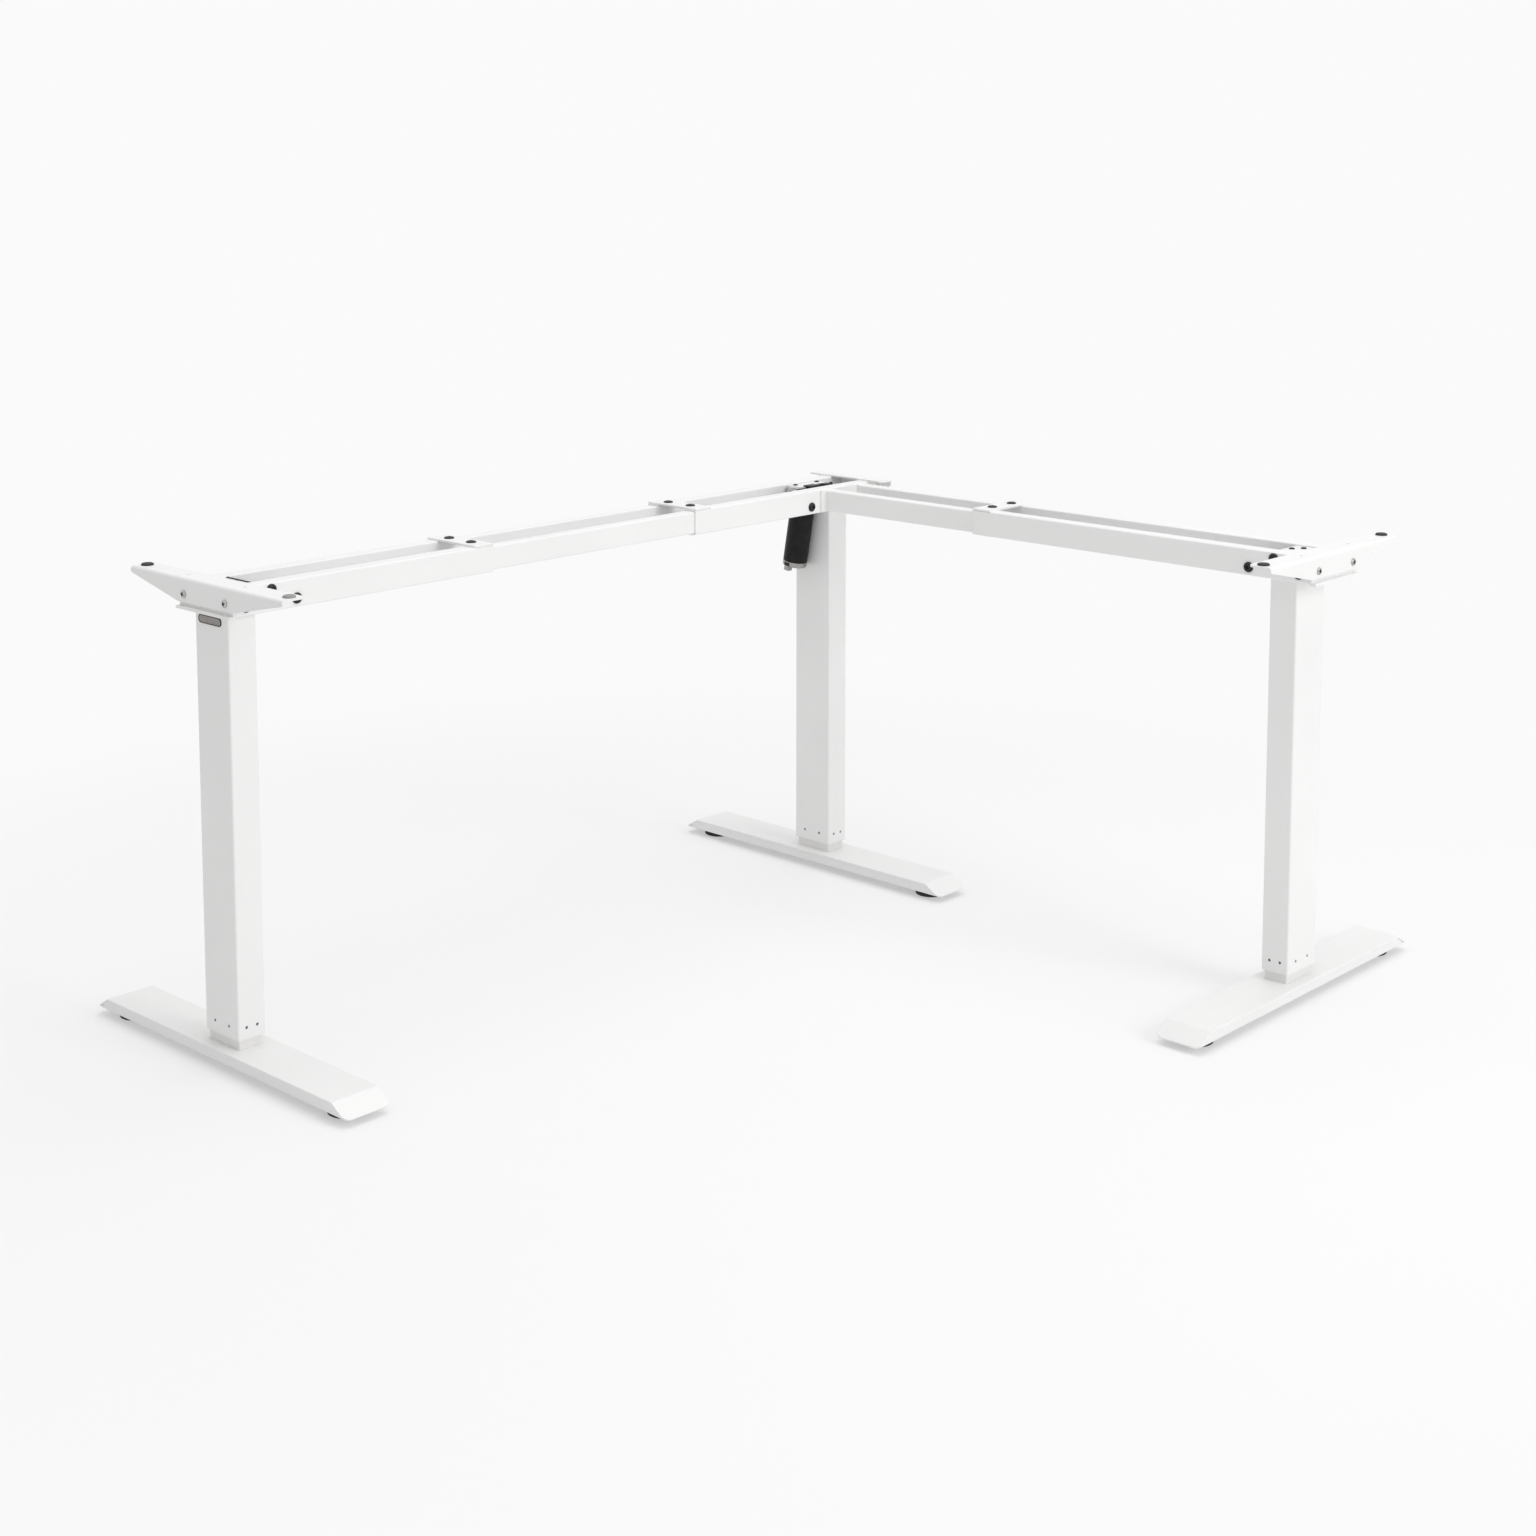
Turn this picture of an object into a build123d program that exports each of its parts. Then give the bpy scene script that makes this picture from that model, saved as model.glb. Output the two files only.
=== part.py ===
"""Three-leg L-shaped electric sit-stand desk frame, at its lowest height.

The corner leg stands where the two beams meet. The long beam runs from it to the left leg
along -Y, the short beam runs from it to the right leg along +X. Each leg is built in its own
frame (origin on the floor under its column, +Y outward along its beam, +X along its foot)
and then placed. Millimetres, +Z up, origin under the middle of the whole frame.
"""
import os
from math import atan, cos, hypot, radians, sin, tan

from build123d import *

os.makedirs("parts", exist_ok=True)

# Overall layout
long_span = 1250.0  # corner column axis to left column axis
short_span = 960.0  # corner column axis to right column axis
frame_top = 697.0  # top of the side arms at the lowest height
lift_travel = 450.0
fit_gap = 0.3  # between pieces that slide on each other
run_gap = 0.1  # between a shaft and its bore

# Telescopic columns
upper_width = 80.0
upper_depth = 46.0
upper_wall = 1.8
upper_corner = 3.0
lower_width = 73.0
lower_depth = 39.0
lower_wall = 2.0
lower_corner = 2.5
lower_show = 15.0  # lower tube left bare above the foot
tube_overlap = 105.0  # tubes still nested at full height
base_plate = 6.0
slider_height = 40.0
slider_recess = 1.0
peg_radius = 2.2
peg_rise = 17.0  # slider pegs above the upper tube's end
peg_half_wide = 17.0
peg_half_narrow = 9.0
peg_recess = 1.2  # peg ends behind the tube's faces

# Feet
foot_length = 610.0
foot_flat = 550.0
foot_width = 78.0
foot_top = 30.0
foot_lip = 12.0  # lowest edge of the folded ends above the floor
foot_sheet = 3.0
foot_wall_inset = 2.0
foot_corner = 12.0
glide_half = 256.0
glide_radius = 26.0
glide_height = 8.0
stem_radius = 4.0
stem_engage = 18.0
boss_wall = 4.0

# Beams of two rectangular tubes each, sleeves on the legs and plain rails inside them
beam_width = 112.0
sleeve_height = 41.0
sleeve_width = 26.0
sheet = 2.0
rail_corner = 2.5
left_sleeve_reach = 441.0  # sleeve end from the column axis
corner_sleeve_reach = 374.0
right_sleeve_reach = 576.0
rail_setback = 150.0  # sliding rail end from the column axis
rail_end_plate = 3.0
rail_end_lip = 12.0  # end plate of the near rail beyond its web
clamp_length = 36.0
clamp_plate = 3.0
clamp_bar = 2.5
clamp_bar_setback = 12.0  # strap under the beam, in from its faces
clamp_screw_half = 26.0
clamp_margin = 5.0

# Leg head brackets and their bolts
bracket_plate = 4.0
bracket_wall = 3.0
bracket_side = 8.5  # end wall beyond the beam on each side
bracket_lip = 4.0  # foot of the end wall beyond the arm's outer face
bracket_reach = 130.0  # bracket length from the arm's outer face
corner_bracket_reach = 195.0
bolt_first = 24.0  # first bolts behind the bracket's end wall
bolt_margin = 15.0
bolt_head_radius = 8.0
bolt_head_height = 4.0
bolt_radius = 3.0
bolt_drop_high = 9.5  # bolt rows below the sleeve's top
bolt_drop_low = 28.0
bolt_length = 9.0

# Side arms under the desktop
arm_length = 367.0
corner_arm_length = 172.0
arm_sheet = 3.0
arm_flange = 38.0
corner_arm_flange = 30.0
arm_web = 35.0
arm_tip = 8.5
arm_bend = 2.0
arm_corner = 8.0
arm_tip_round = 4.0
left_inset = 34.0  # arm's outer face from the column axis
corner_inset = 92.0
right_inset = 64.0
pad_radius = 9.0
pad_height = 3.0
pad_end = 12.0
pad_inset = 20.0
desktop_hole_radius = 3.0
desktop_hole_half = 68.0
corner_hole_half = 40.0
arm_screw_half = 50.0
arm_screw_drop = 23.0
arm_screw_radius = 2.5
arm_screw_head = 5.5
arm_screw_head_height = 3.0
arm_screw_length = 8.0

# Drive: crown wheel on each lead screw, pinions on the cross shafts
shaft_drop = 23.5  # shaft axis below the frame top
gear_module = 1.0
pinion_teeth = 16
crown_teeth = 32
gear_face = 5.0
mitre_teeth = 24
mitre_face = 4.5
addendum = 0.9
dedendum = 1.25
backlash = 0.45
gear_back = 3.4
journal_radius = 3.5
screw_radius = 8.0
screw_journal = 5.0
screw_engage = 18.0  # screw still in the nut at full height
nut_plug = 30.0
nut_skirt = 40.0
nut_flange = 6.0
shaft_tube_radius = 7.0
hex_flat = 8.0
hex_gap = 0.3
shaft_step = 6.0  # shaft tube starts this far outside its gearbox
long_tube_length = 670.0
short_tube_length = 530.0
shaft_overlap = 390.0
gearbox_wall = 3.0
gearbox_half = 25.0
gearbox_height = 33.0
gear_clear = 1.0

# Motor hung under the corner gearbox, leaning across the long beam
motor_lean = 10.0
motor_offset = 46.0  # motor axis from the corner column axis at shaft height
motor_radius = 21.5
motor_length = 94.0
motor_wall = 2.5
motor_top = 24.0  # top of the motor below the shaft, along its axis
motor_neck = 16.0
motor_cap_length = 9.0
motor_cap_step = 2.0
motor_tab = 10.0
motor_tab_drop = 7.0
rotor_radius = 16.0
rotor_margin = 8.0

# Heights that follow from the sizes above
beam_top = frame_top - arm_sheet
beam_bottom = beam_top - sleeve_height
beam_mid = beam_top - sleeve_height / 2
plate_top = beam_bottom + bracket_plate
upper_bottom = foot_top + lower_show
lower_top = upper_bottom + lift_travel + tube_overlap
shaft_z = frame_top - shaft_drop
screw_bottom = lower_top - nut_plug + screw_engage - lift_travel
half_beam = beam_width / 2
rail_height = sleeve_height - 2 * sheet - 2 * fit_gap
rail_width = sleeve_width - 2 * sheet - 2 * fit_gap
rail_face = half_beam - sheet - fit_gap
rail_mid = rail_face - rail_width / 2
sleeve_mid = half_beam - sleeve_width / 2
plate_width = beam_width + 2 * bracket_side
slider_outer_width = upper_width - 2 * upper_wall
slider_outer_depth = upper_depth - 2 * upper_wall
slider_corner = upper_corner - upper_wall
pinion_radius = gear_module * pinion_teeth / 2
crown_radius = gear_module * crown_teeth / 2
mitre_radius = gear_module * mitre_teeth / 2
pinion_cone = atan(pinion_teeth / crown_teeth)
crown_cone = atan(crown_teeth / pinion_teeth)
mitre_cone = radians(45)
pinion_back = crown_radius + dedendum * sin(pinion_cone) + gear_back
crown_back = pinion_radius + dedendum * sin(crown_cone) + gear_back
mitre_back = mitre_radius / tan(mitre_cone) + dedendum * sin(mitre_cone) + gear_back

# Leg frames: the arms and feet set the outline, which is centred on the origin
arm_front = max(arm_screw_head_height, bracket_lip)
left_reach = max(left_inset + arm_front, foot_width / 2)
right_reach = max(right_inset + arm_front, foot_width / 2)
corner_x = (foot_length / 2 - short_span - right_reach) / 2
corner_y = (long_span + left_reach - foot_length / 2) / 2
corner_leg = Location((corner_x, corner_y, 0))
left_leg = Location((corner_x, corner_y - long_span, 0), (0, 0, 180))
right_leg = Location((corner_x + short_span, corner_y, 0), (0, 0, -90))


def keep(piece, name):
    """Label a finished piece and write it."""
    piece.label = name
    export_step(piece, f"parts/{name}.step")


def rounded_tube(width, depth, wall, corner, bottom, top):
    with BuildPart() as tube:
        with BuildSketch(Plane.XY.offset(bottom)):
            RectangleRounded(width, depth, corner)
            RectangleRounded(width - 2 * wall, depth - 2 * wall, corner - wall, mode=Mode.SUBTRACT)
        extrude(amount=top - bottom)
    return tube.part


def upper_tube():
    """Outer column tube with the small holes that hold its bottom slider."""
    z = upper_bottom + peg_rise
    with BuildPart() as tube:
        add(rounded_tube(upper_width, upper_depth, upper_wall, upper_corner, upper_bottom, beam_bottom))
        for x in (-peg_half_wide, peg_half_wide):
            with Locations(Location((x, 0, z), (90, 0, 0))):
                Cylinder(peg_radius + run_gap, upper_depth + 2, mode=Mode.SUBTRACT)
        for y in (-peg_half_narrow, peg_half_narrow):
            with Locations(Location((0, y, z), (0, 90, 0))):
                Cylinder(peg_radius + run_gap, upper_width + 2, mode=Mode.SUBTRACT)
    return tube.part


def column_slider():
    """Plastic bush in the mouth of the upper tube, held by pegs in the tube's holes."""
    z = upper_bottom + peg_rise
    bottom = upper_bottom + slider_recess
    with BuildPart() as slider:
        with BuildSketch(Plane.XY.offset(bottom)):
            RectangleRounded(slider_outer_width, slider_outer_depth, slider_corner)
        extrude(amount=slider_height)
        peg_span_x = upper_width - 2 * peg_recess
        peg_span_y = upper_depth - 2 * peg_recess
        for x in (-peg_half_wide, peg_half_wide):
            with Locations(Location((x, 0, z), (90, 0, 0))):
                Cylinder(peg_radius, peg_span_y)
        for y in (-peg_half_narrow, peg_half_narrow):
            with Locations(Location((0, y, z), (0, 90, 0))):
                Cylinder(peg_radius, peg_span_x)
        with BuildSketch(Plane.XY.offset(bottom)):
            RectangleRounded(lower_width + 2 * fit_gap, lower_depth + 2 * fit_gap, lower_corner + fit_gap)
        extrude(amount=slider_height, mode=Mode.SUBTRACT)
    return slider.part


def lower_tube():
    """Inner column tube with the plate welded into its lower end."""
    with BuildPart() as tube:
        add(rounded_tube(lower_width, lower_depth, lower_wall, lower_corner, foot_top, lower_top))
        with BuildSketch(Plane.XY.offset(foot_top)):
            RectangleRounded(lower_width - lower_wall, lower_depth - lower_wall, lower_corner - lower_wall / 2)
        extrude(amount=base_plate)
    return tube.part


def lift_nut():
    """Moulded nut that caps the lower tube and slides in the upper one."""
    with BuildPart() as nut:
        with BuildSketch(Plane.XY.offset(lower_top - nut_skirt)):
            RectangleRounded(slider_outer_width - 2 * fit_gap, slider_outer_depth - 2 * fit_gap,
                             slider_corner - fit_gap)
        extrude(amount=nut_skirt + nut_flange)
        with BuildSketch(Plane.XY.offset(lower_top - nut_skirt)):
            RectangleRounded(lower_width, lower_depth, lower_corner)
        extrude(amount=nut_skirt, mode=Mode.SUBTRACT)
        with BuildSketch(Plane.XY.offset(lower_top - nut_plug)):
            RectangleRounded(lower_width - 2 * lower_wall, lower_depth - 2 * lower_wall,
                             lower_corner - lower_wall)
        extrude(amount=nut_plug)
        with Locations((0, 0, lower_top)):
            Cylinder(screw_radius + run_gap, 2 * (nut_plug + nut_flange), mode=Mode.SUBTRACT)
    return nut.part


def foot():
    """Folded steel foot: flat top, two side walls and sloping end tongues."""
    run = (foot_length - foot_flat) / 2
    drop = foot_top - foot_lip
    slope = hypot(run, drop)
    wall_y = foot_width / 2 - foot_wall_inset - foot_sheet / 2
    with BuildPart() as shoe:
        with BuildSketch(Plane.XY.offset(foot_top - foot_sheet)):
            Rectangle(foot_flat, foot_width)
        extrude(amount=foot_sheet)
        for side in (-1, 1):
            tongue = Plane(origin=(side * foot_flat / 2, 0, foot_top), x_dir=(side * run, 0, -drop),
                           z_dir=(side * drop, 0, run))
            with BuildSketch(tongue) as flap:
                with Locations((slope / 2, 0)):
                    Rectangle(slope, foot_width)
                fillet(flap.vertices().group_by(Axis.X)[-1], radius=foot_corner)
            extrude(amount=-foot_sheet)
        for side in (-1, 1):
            with BuildSketch(Plane.XZ.offset(-side * wall_y - foot_sheet / 2)):
                with BuildLine():
                    half = foot_flat / 2
                    low = run * (drop - foot_sheet) / drop
                    Polyline((-half, foot_top - foot_sheet / 2), (half, foot_top - foot_sheet / 2),
                             (half + low - foot_sheet, foot_lip), (-half - low + foot_sheet, foot_lip),
                             close=True)
                make_face()
            extrude(amount=foot_sheet)
        with Locations((-glide_half, 0, foot_top - foot_sheet), (glide_half, 0, foot_top - foot_sheet)):
            Cylinder(stem_radius + boss_wall, foot_top - foot_sheet - foot_lip,
                     align=(Align.CENTER, Align.CENTER, Align.MAX))
        with Locations((-glide_half, 0, foot_top - foot_sheet), (glide_half, 0, foot_top - foot_sheet)):
            Cylinder(stem_radius + run_gap, foot_top,
                     align=(Align.CENTER, Align.CENTER, Align.MAX), mode=Mode.SUBTRACT)
    return shoe.part


def glides():
    """Two screw-in levelling glides, one under each end of the foot."""
    with BuildPart() as pair:
        with Locations((-glide_half, 0, 0), (glide_half, 0, 0)):
            Cylinder(glide_radius, glide_height, align=(Align.CENTER, Align.CENTER, Align.MIN))
            Cylinder(stem_radius, glide_height + stem_engage,
                     align=(Align.CENTER, Align.CENTER, Align.MIN))
        rims = pair.edges().filter_by(GeomType.CIRCLE).group_by(Axis.Z)[1]
        chamfer(rims, length=glide_height / 3)
    return pair.part


def bolt_rows(inset, reach, middle):
    """Bolt places on a sleeve: distance from the column axis and height."""
    first = inset - bracket_wall - arm_sheet - bolt_first
    last = inset - reach + bolt_margin
    low = beam_top - bolt_drop_low
    high = beam_top - bolt_drop_high
    rows = [(first, low), (last, low)]
    return rows + [((first + last) / 2, high)] if middle else rows


def head_bracket(inset, reach, middle=True):
    """Folded head of a leg: plate on the column, side walls in the beam, end wall for the arm."""
    end = inset - arm_sheet
    start = inset - reach
    wall_mid = rail_face - bracket_wall / 2
    with BuildPart() as bracket:
        with BuildSketch(Plane.XY.offset(beam_bottom)):
            with Locations((0, (end + start) / 2)):
                Rectangle(2 * rail_face, end - start)
        extrude(amount=bracket_plate)
        with BuildSketch(Plane.XY.offset(beam_bottom)):
            with Locations((0, end - bracket_wall / 2)):
                Rectangle(plate_width, bracket_wall)
            with Locations((-wall_mid, (end + start) / 2), (wall_mid, (end + start) / 2)):
                Rectangle(bracket_wall, end - start)
        extrude(amount=sleeve_height - sheet - fit_gap)
        with BuildSketch(Plane.XY.offset(beam_bottom)):
            with Locations((0, (end + inset + bracket_lip) / 2)):
                Rectangle(plate_width, inset + bracket_lip - end)
        extrude(amount=bracket_plate)
        with Locations((0, 0, beam_bottom)):
            Cylinder(screw_journal + run_gap, 4 * bracket_plate, mode=Mode.SUBTRACT)
        for y, z in bolt_rows(inset, reach, middle):
            with Locations(Location((0, y, z), (0, 90, 0))):
                Cylinder(bolt_radius, beam_width, mode=Mode.SUBTRACT)
        for x in (-arm_screw_half, arm_screw_half):
            with Locations(Location((x, end, frame_top - arm_screw_drop), (90, 0, 0))):
                Cylinder(arm_screw_radius, 4 * bracket_wall, mode=Mode.SUBTRACT)
    return bracket.part


def box_rail(height, width, start, end, middle, side):
    """Rectangular tube along Y, its middle at a distance from the beam's middle."""
    with BuildPart() as rail:
        with BuildSketch(Plane.XZ.offset(-start)):
            with Locations((side * middle, beam_mid)):
                RectangleRounded(width, height, rail_corner)
                Rectangle(width - 2 * sheet, height - 2 * sheet, mode=Mode.SUBTRACT)
        extrude(amount=start - end)
    return rail.part


def sleeve(inset, reach, bracket_length, side, middle=True):
    """Outer tube bolted to a leg's bracket, its lower inner corner cut away over the bracket."""
    end = inset - arm_sheet - bracket_wall - fit_gap
    start = inset - bracket_length - fit_gap
    with BuildPart() as rail:
        add(box_rail(sleeve_height, sleeve_width, -reach, end, sleeve_mid, side))
        with BuildSketch(Plane.XY.offset(beam_bottom)):
            with Locations((side * (half_beam - sheet - sleeve_width / 2), (start + end) / 2)):
                Rectangle(sleeve_width, end - start)
        extrude(amount=bracket_plate + fit_gap, mode=Mode.SUBTRACT)
        for y, z in bolt_rows(inset, bracket_length, middle):
            with Locations(Location((side * half_beam, y, z), (0, 90, 0))):
                Cylinder(bolt_radius, 4 * sheet, mode=Mode.SUBTRACT)
    return rail.part


def clamp_plates(reach):
    """Plate over the sleeves and strap under them, drawn together by two screws."""
    mid = -reach + clamp_length / 2
    with BuildPart() as clamp:
        with BuildSketch(Plane.XY.offset(beam_top)):
            with Locations((0, mid)):
                Rectangle(beam_width, clamp_length)
        extrude(amount=clamp_plate)
        with BuildSketch(Plane.XY.offset(beam_bottom)):
            with Locations((0, mid)):
                Rectangle(2 * (half_beam - clamp_bar_setback), clamp_length - 2 * clamp_margin)
        extrude(amount=-clamp_bar)
        with Locations((-clamp_screw_half, mid, beam_mid), (clamp_screw_half, mid, beam_mid)):
            Cylinder(bolt_radius, 2 * sleeve_height, mode=Mode.SUBTRACT)
    return clamp.part


def socket_screw(length, head_radius, head_height, radius):
    """Button-head screw along Z, its head standing on the origin plane."""
    with BuildPart() as screw:
        Cylinder(head_radius, head_height, align=(Align.CENTER, Align.CENTER, Align.MIN))
        rim = screw.edges().group_by(Axis.Z)[-1]
        fillet(rim, radius=head_height * 0.6)
        with Locations((0, 0, head_height)):
            Cylinder(head_radius * 0.4, head_height, mode=Mode.SUBTRACT)
        Cylinder(radius, length, align=(Align.CENTER, Align.CENTER, Align.MAX))
    return screw.part


def black_bolts(inset, reach, bracket_length, middle=True):
    """Black bolts of one leg: through the sleeves into the bracket, and the clamp screws."""
    mid = -reach + clamp_length / 2
    bolt = socket_screw(bolt_length, bolt_head_radius, bolt_head_height, bolt_radius)
    clamp_head = pad_height - fit_gap
    clamp_depth = clamp_plate + sleeve_height + clamp_bar
    clamp_bolt = socket_screw(clamp_depth, bolt_head_radius, clamp_head, bolt_radius)
    with BuildPart() as bolts:
        for side in (-1, 1):
            for y, z in bolt_rows(inset, bracket_length, middle):
                with Locations(Location((side * half_beam, y, z), (0, 90 * side, 0))):
                    add(bolt)
            with Locations((side * clamp_screw_half, mid, beam_top + clamp_plate)):
                add(clamp_bolt)
    return bolts.part


def arm(inset, length, flange, hole_half):
    """Folded side arm: flange under the desktop and a web that tapers to both ends."""
    half = length / 2
    flat = plate_width / 2
    tip_z = frame_top - arm_tip
    low_z = frame_top - arm_web
    with BuildPart() as bracket:
        with BuildSketch(Plane.YZ.offset(-half)) as section:
            with BuildLine():
                Polyline((inset, frame_top), (inset, low_z), (inset - arm_sheet, low_z),
                         (inset - arm_sheet, frame_top - arm_sheet), (inset - flange, frame_top - arm_sheet),
                         (inset - flange, frame_top), close=True)
            make_face()
            outer = section.vertices().sort_by(lambda v: v.X + v.Y)[-1]
            inner = section.vertices().sort_by(lambda v: abs(v.X - inset) + abs(v.Y - frame_top))[1]
            fillet(outer, radius=arm_bend + arm_sheet)
            fillet(inner, radius=arm_bend)
        extrude(amount=length)
        for side in (-1, 1):
            with BuildSketch(Plane.XZ.offset(-inset)):
                with BuildLine():
                    Polyline((side * (half + arm_sheet), tip_z), (side * half, tip_z), (side * flat, low_z),
                             (side * flat, low_z - arm_sheet), (side * (half + arm_sheet), low_z - arm_sheet),
                             close=True)
                make_face()
            extrude(amount=flange, both=True, mode=Mode.SUBTRACT)
        ends = bracket.edges().filter_by(Axis.Z).group_by(Axis.Y)[0]
        fillet(ends, radius=arm_corner)
        tips = [e for e in bracket.edges().filter_by(Axis.Y) if abs(e.center().Z - tip_z) < 0.1]
        fillet(tips, radius=arm_tip_round)
        with Locations((-hole_half, inset - pad_inset, frame_top), (hole_half, inset - pad_inset, frame_top)):
            Cylinder(desktop_hole_radius, 4 * arm_sheet, mode=Mode.SUBTRACT)
        for x in (-arm_screw_half, arm_screw_half):
            with Locations(Location((x, inset, frame_top - arm_screw_drop), (90, 0, 0))):
                Cylinder(arm_screw_radius, 4 * arm_sheet, mode=Mode.SUBTRACT)
    return bracket.part


def arm_pads(inset, length):
    """Rubber pads on top of the arm, one near each end."""
    x = length / 2 - pad_end
    y = inset - pad_inset
    with BuildPart() as pads:
        with Locations((-x, y, frame_top), (x, y, frame_top)):
            Cylinder(pad_radius, pad_height, align=(Align.CENTER, Align.CENTER, Align.MIN))
        fillet(pads.edges().filter_by(GeomType.CIRCLE).group_by(Axis.Z)[-1], radius=pad_height / 3)
    return pads.part


def arm_screws(inset):
    """Two zinc screws that hold the arm's web to the bracket's end wall."""
    screw = socket_screw(arm_screw_length, arm_screw_head, arm_screw_head_height, arm_screw_radius)
    with BuildPart() as screws:
        for x in (-arm_screw_half, arm_screw_half):
            with Locations(Location((x, inset, frame_top - arm_screw_drop), (-90, 0, 0))):
                add(screw)
    return screws.part


def bevel_gear(teeth, cone, face, bore, phase):
    """Straight bevel gear, apex at the origin, its axis along +Z away from the apex."""
    radius = gear_module * teeth / 2
    depth = radius / tan(cone)
    length = hypot(radius, depth)
    shrink = (length - face) / length
    root = (radius - dedendum * cos(cone), depth + dedendum * sin(cone))
    back = root[1] + gear_back
    tooth_half = (3.14159 * gear_module - backlash) / 4
    root_half = tooth_half + dedendum * tan(radians(20))
    tip_half = tooth_half - addendum * tan(radians(20))
    sink = 0.2
    with BuildPart() as tooth:
        for scale in (1.0, shrink):
            place = Plane(origin=(radius * scale, 0, depth * scale), x_dir=(0, 1, 0),
                          z_dir=(sin(cone), 0, cos(cone)))
            with BuildSketch(place):
                with BuildLine():
                    low = (dedendum + sink) * scale
                    high = -addendum * scale
                    Polyline((-root_half * scale, low), (root_half * scale, low),
                             (tip_half * scale, high), (-tip_half * scale, high), close=True)
                make_face()
        loft(ruled=True)
    with BuildPart() as gear:
        with BuildSketch(Plane.XZ):
            with BuildLine():
                Polyline((bore, root[1] * shrink), (root[0] * shrink, root[1] * shrink), root,
                         (root[0], back), (bore, back), close=True)
            make_face()
        revolve(axis=Axis.Z)
        with PolarLocations(0, teeth, start_angle=phase * 360 / teeth):
            add(tooth.part)
    return gear.part


def lead_screw():
    """Lead screw hung in the column, with the crown wheel pressed on its upper end."""
    wheel_back = shaft_z - crown_back
    crown = bevel_gear(crown_teeth, crown_cone, gear_face, screw_journal, 0)
    with BuildPart() as screw:
        with Locations((0, 0, screw_bottom)):
            Cylinder(screw_radius, beam_bottom - fit_gap - screw_bottom,
                     align=(Align.CENTER, Align.CENTER, Align.MIN))
            Cylinder(screw_journal, wheel_back + gear_back - screw_bottom,
                     align=(Align.CENTER, Align.CENTER, Align.MIN))
    wheel = Location((0, 0, shaft_z), (180, 0, 0)) * crown
    return Compound(children=[screw.part.solid(), wheel.solid()])


def gearbox_box(low, high, pinion_low, pinion_high):
    """Closed gear housing on the bracket: plain block, gear room and the screw's bore."""
    with BuildPart() as box:
        with BuildSketch(Plane.XY.offset(plate_top)):
            with Locations((0, (low + high) / 2)):
                Rectangle(2 * gearbox_half, high - low)
        extrude(amount=gearbox_height)
        fillet(box.edges().filter_by(Axis.Z), radius=gearbox_wall)
        with BuildSketch(Plane.XY.offset(plate_top + gearbox_wall)):
            with Locations((0, (pinion_low + pinion_high) / 2)):
                Rectangle(2 * (gearbox_half - gearbox_wall), pinion_high - pinion_low)
        extrude(amount=gearbox_height - 2 * gearbox_wall, mode=Mode.SUBTRACT)
        with Locations((0, 0, plate_top)):
            Cylinder(screw_journal + run_gap, 3 * gearbox_wall, mode=Mode.SUBTRACT)
        with Locations(Location((0, 0, shaft_z), (90, 0, 0))):
            Cylinder(journal_radius + run_gap, 4 * gearbox_half + 2 * motor_offset, mode=Mode.SUBTRACT)
    return box.part


def end_gearbox():
    """Gear housing of an outer leg, its pinion on the outward side of the screw."""
    room_high = pinion_back + gear_clear
    room_low = -crown_radius - addendum - gear_clear
    return gearbox_box(room_low - gearbox_wall, room_high + gearbox_wall, room_low, room_high)


def motor_plane(distance):
    """Plane square to the motor's leaning axis, its Z pointing down that axis."""
    lean = radians(motor_lean)
    down = Vector(-sin(lean), 0, -cos(lean))
    apex = Vector(0, -motor_offset, shaft_z)
    return Plane(origin=apex + down * distance, x_dir=(0, 1, 0), z_dir=down)


def corner_gearbox():
    """Gear housing of the corner leg, with the neck that carries the motor."""
    room_low = -motor_offset - mitre_radius - addendum - gear_clear
    room_high = crown_radius + addendum + gear_clear
    with BuildPart() as box:
        add(gearbox_box(room_low - gearbox_wall, room_high + gearbox_wall, room_low, room_high))
        neck_start = (shaft_z - plate_top - gearbox_wall) / cos(radians(motor_lean))
        with BuildSketch(motor_plane(neck_start)):
            Circle(motor_neck)
        extrude(amount=motor_top - neck_start)
        with BuildSketch(motor_plane(0)):
            Circle(mitre_radius + addendum + gear_clear)
        extrude(amount=mitre_back + gear_clear, mode=Mode.SUBTRACT)
        with BuildSketch(motor_plane(0)):
            Circle(journal_radius + run_gap)
        extrude(amount=2 * motor_top, mode=Mode.SUBTRACT)
        with Locations(Location((gearbox_half, 0, shaft_z), (0, 90, 0))):
            Cylinder(journal_radius + run_gap, 4 * gearbox_wall, mode=Mode.SUBTRACT)
    return box.part


def hex_rod(span, tube_start, tube_length):
    """Hexagonal shaft of an outer leg with its pinion, reaching into the corner's tube."""
    reach = span - (tube_start + tube_length - shaft_overlap)
    room_low = crown_radius + addendum + gear_clear + gearbox_wall + gear_clear
    pinion = bevel_gear(pinion_teeth, pinion_cone, gear_face, journal_radius, 0.5)
    with BuildPart() as rod:
        with BuildSketch(Plane.XZ.offset(-pinion_back)):
            with Locations((0, shaft_z)):
                Circle(journal_radius)
        extrude(amount=pinion_back + room_low)
        with BuildSketch(Plane.XZ.offset(room_low)):
            with Locations((0, shaft_z)):
                RegularPolygon(hex_flat / 2, 6, major_radius=False)
        extrude(amount=reach - room_low)
    gear = Location((0, 0, shaft_z), (-90, 0, 0)) * pinion
    return Compound(children=[rod.part.solid(), gear.solid()])


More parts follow.
